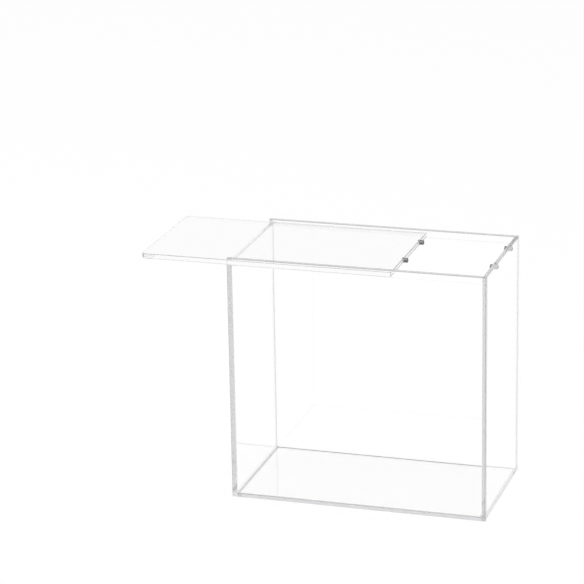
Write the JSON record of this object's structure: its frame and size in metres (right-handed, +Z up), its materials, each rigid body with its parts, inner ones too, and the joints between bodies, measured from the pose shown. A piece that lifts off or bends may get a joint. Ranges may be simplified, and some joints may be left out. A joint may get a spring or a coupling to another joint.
{
  "type": "booster box display case",
  "caption": "Clear acrylic display case for a sealed card box, with a flat lid that slides in channels and a magnetic catch.",
  "frame": {"origin": "middle of the case's underside, on the surface that it stands on", "axes": "+Z up, front faces -Y, the lid slides out towards -X"},
  "size_m": [0.2047, 0.084, 0.146],
  "materials": {
    "clear_sheet": "polished clear",
    "plated_magnet": "satin nickel plate"
  },
  "bodies": {
    "case": {"bottom_panel": "clear_sheet", "front_panel": "clear_sheet", "back_panel": "clear_sheet", "left_end_panel": "clear_sheet", "right_end_panel": "clear_sheet", "case_magnet_front": "plated_magnet", "case_magnet_rear": "plated_magnet"},
    "lid": {"sliding_lid": "clear_sheet", "lid_magnet_front": "plated_magnet", "lid_magnet_rear": "plated_magnet"}
  },
  "joints": [
    {"name": "lid_slide", "type": "slide", "parent": "case", "child": "lid", "axis": [-1, 0, 0], "range_m": [-0.0479, 0.1]}
  ]
}
